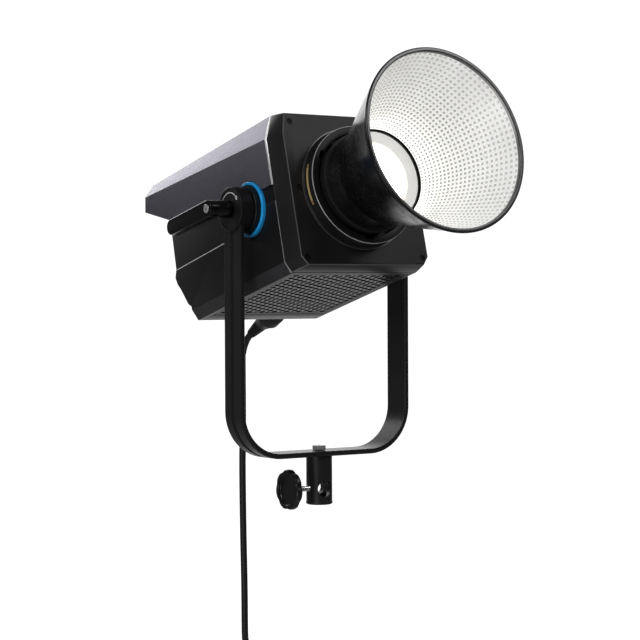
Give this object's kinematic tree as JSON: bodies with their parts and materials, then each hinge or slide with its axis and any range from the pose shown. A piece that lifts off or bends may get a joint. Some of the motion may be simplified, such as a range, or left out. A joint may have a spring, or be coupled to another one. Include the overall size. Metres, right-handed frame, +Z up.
{
  "type": "led spotlight",
  "caption": "Open-face LED studio spotlight: a box head with a round faceted reflector, tilting in a flat U-shaped yoke with a stand receiver.",
  "frame": {"origin": "centre of the stand receiver's lower rim, on the socket's axis", "axes": "+Z up along the stand, -Y toward the light's front, +X to the right seen from the front; the tilt axis runs along X"},
  "size_m": [0.2501, 0.4826, 0.8261],
  "materials": {
    "black_metal": "satin black powder coat",
    "black_plastic": "fine moulded grain",
    "gloss_black": "smooth",
    "plate_grey": "satin dark grey",
    "hood_grey": "metallic dark grey",
    "blue": "anodised blue look",
    "steel": "bright",
    "aluminium": "as milled",
    "copper": "bare copper",
    "brass": "turned",
    "bowl_silver": "bright, faceted inside",
    "frosted_glass": "frosted, lit from behind",
    "led_yellow": "phosphor",
    "board_green": "circuit board",
    "display_black": "glossy window",
    "rubber": "matt",
    "brown_fibre": "friction lining"
  },
  "bodies": {
    "yoke": {"yoke_strap": "black_metal", "left_hub_housing": "black_metal", "right_hub_housing": "black_metal", "left_friction_disc": "brown_fibre", "right_friction_disc": "brown_fibre", "stand_receiver": "black_metal", "receiver_bolt": "steel", "cord_tube": "rubber", "cord_coil": "rubber", "cord_tie": "black_plastic", "mains_plug": "rubber"},
    "reflector": {"reflector_bowl": "bowl_silver", "reflector_base": "black_plastic"},
    "lever_hub": {"lever_core": "steel", "lever_screw": "steel", "lever_spring": "steel"},
    "lever": {"lever_handle": "gloss_black"},
    "clamp_tip": {"clamp_pad": "brass"},
    "hand_screw": {"clamp_screw": "steel", "clamp_knob": "black_plastic"},
    "detent": {"detent_pin": "steel"},
    "front_fan": {"fan_rotor_front": "black_plastic"},
    "rear_fan": {"fan_rotor_rear": "black_plastic"},
    "left_control": {"left_dial": "black_plastic"},
    "right_control": {"right_dial": "black_plastic"},
    "rocker": {"power_rocker": "black_plastic"},
    "key_1": {"button_1": "rubber"},
    "key_2": {"button_2": "rubber"},
    "key_3": {"button_3": "rubber"},
    "key_4": {"button_4": "rubber"},
    "head": {"bottom_grille": "black_metal", "cold_plate": "aluminium", "control_board": "board_green", "cord_connector": "gloss_black", "data_socket": "steel", "detent_spring": "steel", "display_window": "display_black", "dome_holder": "aluminium", "driver_board": "board_green", "fan_frame_front": "black_plastic", "fan_frame_rear": "black_plastic", "fin_stack": "aluminium", "front_bezel": "plate_grey", "heat_pipe_1": "copper", "heat_pipe_2": "copper", "heat_pipe_3": "copper", "inlet_socket": "black_plastic", "led_board": "led_yellow", "left_blue_ring": "blue", "left_tilt_boss": "black_metal", "left_tilt_stud": "steel", "lens_dome": "frosted_glass", "lower_shell": "black_metal", "mount_ring": "black_metal", "power_supply": "board_green", "rear_panel": "black_plastic", "right_blue_ring": "blue", "right_tilt_boss": "black_metal", "right_tilt_stud": "steel", "top_cover": "hood_grey"}
  },
  "joints": [
    {"name": "head_tilt", "type": "hinge", "parent": "yoke", "child": "head", "pos_m": [0, 0, 0.3134], "axis": [1, 0, 0], "range_deg": [-45, 75], "deforming": ["cord_tube"]},
    {"name": "lever_turn", "type": "hinge", "parent": "yoke", "child": "lever_hub", "pos_m": [0, 0, 0.3134], "axis": [-1, 0, 0], "range_deg": [0, 150]},
    {"name": "lever_pull", "type": "slide", "parent": "lever_hub", "child": "lever", "axis": [-1, 0, 0], "range_m": [0, 0.004], "stiffness_N_per_m": 800, "deforming": ["lever_spring"]},
    {"name": "clamp_turn", "type": "hinge", "parent": "clamp_tip", "child": "hand_screw", "pos_m": [0, 0, 0.0174], "axis": [-1, 0, 0], "range_deg": [0, 1440]},
    {"name": "clamp_slide", "type": "slide", "parent": "yoke", "child": "clamp_tip", "axis": [-1, 0, 0], "range_m": [0, 0.005]},
    {"name": "reflector_turn", "type": "hinge", "parent": "head", "child": "reflector", "pos_m": [0, 0.00041, 0.31495], "axis": [0, -0.9664, 0.2571], "range_deg": [0, 30]},
    {"name": "detent_press", "type": "slide", "parent": "head", "child": "detent", "axis": [0.0523, 0.2568, 0.9651], "range_m": [0, 0.0015], "stiffness_N_per_m": 1200, "deforming": ["detent_spring"]},
    {"name": "front_fan_spin", "type": "hinge", "parent": "head", "child": "front_fan", "pos_m": [0, 0, 0.3134], "axis": [0, 0.2571, 0.9664], "continuous": true},
    {"name": "rear_fan_spin", "type": "hinge", "parent": "head", "child": "rear_fan", "pos_m": [0, 0.07731, 0.29283], "axis": [0, 0.2571, 0.9664], "continuous": true},
    {"name": "left_dial_turn", "type": "hinge", "parent": "head", "child": "left_control", "pos_m": [-0.056, 0.1635, 0.28231], "axis": [0, 0.9664, -0.2571], "continuous": true},
    {"name": "right_dial_turn", "type": "hinge", "parent": "head", "child": "right_control", "pos_m": [0.056, 0.1635, 0.28231], "axis": [0, 0.9664, -0.2571], "continuous": true},
    {"name": "rocker_tip", "type": "hinge", "parent": "head", "child": "rocker", "pos_m": [0, 0.12354, 0.21943], "axis": [1, 0, 0], "range_deg": [0, 18]},
    {"name": "button_1_press", "type": "slide", "parent": "head", "child": "key_1", "axis": [0, -0.9664, 0.2571], "range_m": [0, 0.001], "stiffness_N_per_m": 1000},
    {"name": "button_2_press", "type": "slide", "parent": "head", "child": "key_2", "axis": [0, -0.9664, 0.2571], "range_m": [0, 0.001], "stiffness_N_per_m": 1000},
    {"name": "button_3_press", "type": "slide", "parent": "head", "child": "key_3", "axis": [0, -0.9664, 0.2571], "range_m": [0, 0.001], "stiffness_N_per_m": 1000},
    {"name": "button_4_press", "type": "slide", "parent": "head", "child": "key_4", "axis": [0, -0.9664, 0.2571], "range_m": [0, 0.001], "stiffness_N_per_m": 1000}
  ],
  "couplings": [
    {"joint": "clamp_slide", "follows": "clamp_turn", "m_per_rad": 0.00019894}
  ]
}
